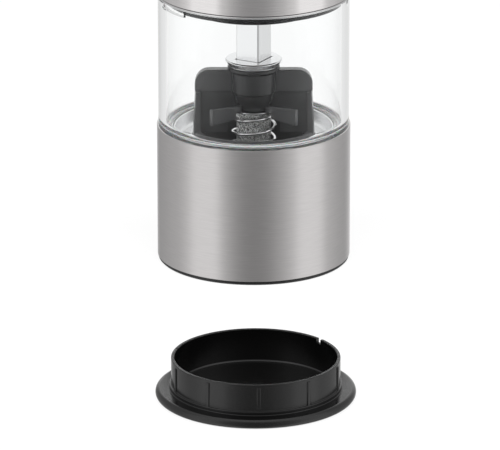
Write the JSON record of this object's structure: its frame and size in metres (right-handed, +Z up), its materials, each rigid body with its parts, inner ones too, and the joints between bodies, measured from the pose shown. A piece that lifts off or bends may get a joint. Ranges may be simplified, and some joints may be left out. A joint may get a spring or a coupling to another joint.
{
  "type": "electric spice grinder",
  "caption": "Battery-powered spice grinder: brushed steel column with a clear chamber, square drive bar, burrs in the base, geared motor, top button and a push-on base cap standing beside it.",
  "frame": {"origin": "on the surface it stands on, at the axis of the column", "axes": "+Z up along the column's axis, -Y towards the base cap that stands in front, +X to the right"},
  "size_m": [0.06, 0.186, 0.2194],
  "materials": {
    "black_plastic": "satin moulded",
    "satin_black": "satin moulded",
    "gloss_black": "gloss moulded",
    "brushed_steel": "brushed round the axis",
    "polished_steel": "polished",
    "plain_steel": "plain",
    "motor_steel": "zinc plated",
    "spring_steel": "bright drawn wire",
    "button_metal": "spun",
    "clear_plastic": "clear",
    "ceramic": "fired, unglazed",
    "brass": "turned",
    "nylon": "moulded",
    "seal_rubber": "soft",
    "cell_jacket": "plain jacket",
    "wire_jacket": "insulated"
  },
  "bodies": {
    "base_unit": {"lower_housing": "black_plastic", "lower_sleeve": "brushed_steel", "chamber_seal": "seal_rubber", "chamber": "clear_plastic", "fixed_burr": "ceramic", "floor_dish": "polished_steel", "floor_screws": "plain_steel", "bridge": "black_plastic", "spring_washer": "plain_steel"},
    "motor_unit": {"motor_base": "black_plastic", "output_bush": "brass", "lock_ring": "polished_steel", "ring_gear": "black_plastic", "gear_cover": "plain_steel", "gear_screws": "plain_steel", "motor_can": "motor_steel", "motor_end_cap": "black_plastic", "core_frame": "black_plastic", "battery_holder": "black_plastic", "cells": "cell_jacket", "contact_springs": "spring_steel", "contact_plates": "brass", "wires": "wire_jacket", "power_switch": "black_plastic"},
    "output_shaft": {"drive_shaft": "polished_steel", "burr_driver": "plain_steel", "hub_collar": "polished_steel", "burr_spring": "spring_steel", "output_carrier": "plain_steel"},
    "grinding_burr": {"turning_burr": "ceramic"},
    "knob": {"grind_knob": "black_plastic", "knob_insert": "brass"},
    "second_planet_a": {"planet_2a": "nylon"},
    "second_planet_b": {"planet_2b": "nylon"},
    "second_planet_c": {"planet_2c": "nylon"},
    "first_stage_carrier": {"first_carrier": "nylon"},
    "first_planet_a": {"planet_1a": "nylon"},
    "first_planet_b": {"planet_1b": "nylon"},
    "first_planet_c": {"planet_1c": "nylon"},
    "motor_rotor": {"motor_pinion": "brass", "motor_shaft": "plain_steel"},
    "plunger": {"switch_plunger": "nylon"},
    "sleeve_unit": {"upper_sleeve": "brushed_steel", "top_cap": "gloss_black", "button_guide": "black_plastic", "guide_screws": "plain_steel", "button_spring": "spring_steel"},
    "button": {"power_button": "button_metal"},
    "cap": {"base_cap": "satin_black"}
  },
  "joints": [
    {"name": "unit_twist", "type": "hinge", "parent": "base_unit", "child": "motor_unit", "pos_m": [0, 0, 0.0848], "axis": [0, 0, 1], "range_deg": [0, 30]},
    {"name": "shaft_spin", "type": "hinge", "parent": "motor_unit", "child": "output_shaft", "pos_m": [0, 0, 0.086], "axis": [0, 0, 1], "continuous": true},
    {"name": "burr_lift", "type": "slide", "parent": "output_shaft", "child": "grinding_burr", "axis": [0, 0, 1], "range_m": [0, 0.001], "deforming": ["burr_spring"]},
    {"name": "knob_turn", "type": "hinge", "parent": "grinding_burr", "child": "knob", "pos_m": [0, 0, 0.006], "axis": [0, 0, 1], "range_deg": [0, 360]},
    {"name": "second_planet_a_spin", "type": "hinge", "parent": "output_shaft", "child": "second_planet_a", "pos_m": [0.0099, 0, 0.094], "axis": [0, 0, 1], "continuous": true},
    {"name": "second_planet_b_spin", "type": "hinge", "parent": "output_shaft", "child": "second_planet_b", "pos_m": [-0.00495, 0.00857, 0.094], "axis": [0, 0, 1], "continuous": true},
    {"name": "second_planet_c_spin", "type": "hinge", "parent": "output_shaft", "child": "second_planet_c", "pos_m": [-0.00495, -0.00857, 0.094], "axis": [0, 0, 1], "continuous": true},
    {"name": "first_carrier_spin", "type": "hinge", "parent": "motor_unit", "child": "first_stage_carrier", "pos_m": [0, 0, 0.0988], "axis": [0, 0, 1], "continuous": true},
    {"name": "first_planet_a_spin", "type": "hinge", "parent": "first_stage_carrier", "child": "first_planet_a", "pos_m": [0.0099, 0, 0.1033], "axis": [0, 0, 1], "continuous": true},
    {"name": "first_planet_b_spin", "type": "hinge", "parent": "first_stage_carrier", "child": "first_planet_b", "pos_m": [-0.00495, 0.00857, 0.1033], "axis": [0, 0, 1], "continuous": true},
    {"name": "first_planet_c_spin", "type": "hinge", "parent": "first_stage_carrier", "child": "first_planet_c", "pos_m": [-0.00495, -0.00857, 0.1033], "axis": [0, 0, 1], "continuous": true},
    {"name": "motor_spin", "type": "hinge", "parent": "motor_unit", "child": "motor_rotor", "pos_m": [0, 0, 0.12], "axis": [0, 0, 1], "continuous": true},
    {"name": "sleeve_lift", "type": "slide", "parent": "motor_unit", "child": "sleeve_unit", "axis": [0, 0, 1], "range_m": [0, 0.13]},
    {"name": "button_press", "type": "slide", "parent": "sleeve_unit", "child": "button", "axis": [0, 0, -1], "range_m": [0, 0.0018], "stiffness_N_per_m": 500, "springref_m": -0.001, "deforming": ["button_spring"]},
    {"name": "plunger_press", "type": "slide", "parent": "motor_unit", "child": "plunger", "axis": [0, 0, -1], "range_m": [0, 0.0018]},
    {"name": "cap_lift", "type": "slide", "parent": "base_unit", "child": "cap", "axis": [0, 0, 1], "range_m": [0, 0.06]}
  ],
  "couplings": [
    {"joint": "knob_turn", "follows": "burr_lift", "rad_per_m": 6283.2},
    {"joint": "second_planet_a_spin", "follows": "shaft_spin", "ratio": -2.5714},
    {"joint": "second_planet_b_spin", "follows": "shaft_spin", "ratio": -2.5714},
    {"joint": "second_planet_c_spin", "follows": "shaft_spin", "ratio": -2.5714},
    {"joint": "first_carrier_spin", "follows": "shaft_spin", "ratio": 5.5},
    {"joint": "first_planet_a_spin", "follows": "shaft_spin", "ratio": -14.143},
    {"joint": "first_planet_b_spin", "follows": "shaft_spin", "ratio": -14.143},
    {"joint": "first_planet_c_spin", "follows": "shaft_spin", "ratio": -14.143},
    {"joint": "motor_spin", "follows": "shaft_spin", "ratio": 30.25},
    {"joint": "plunger_press", "follows": "button_press", "ratio": 1}
  ]
}
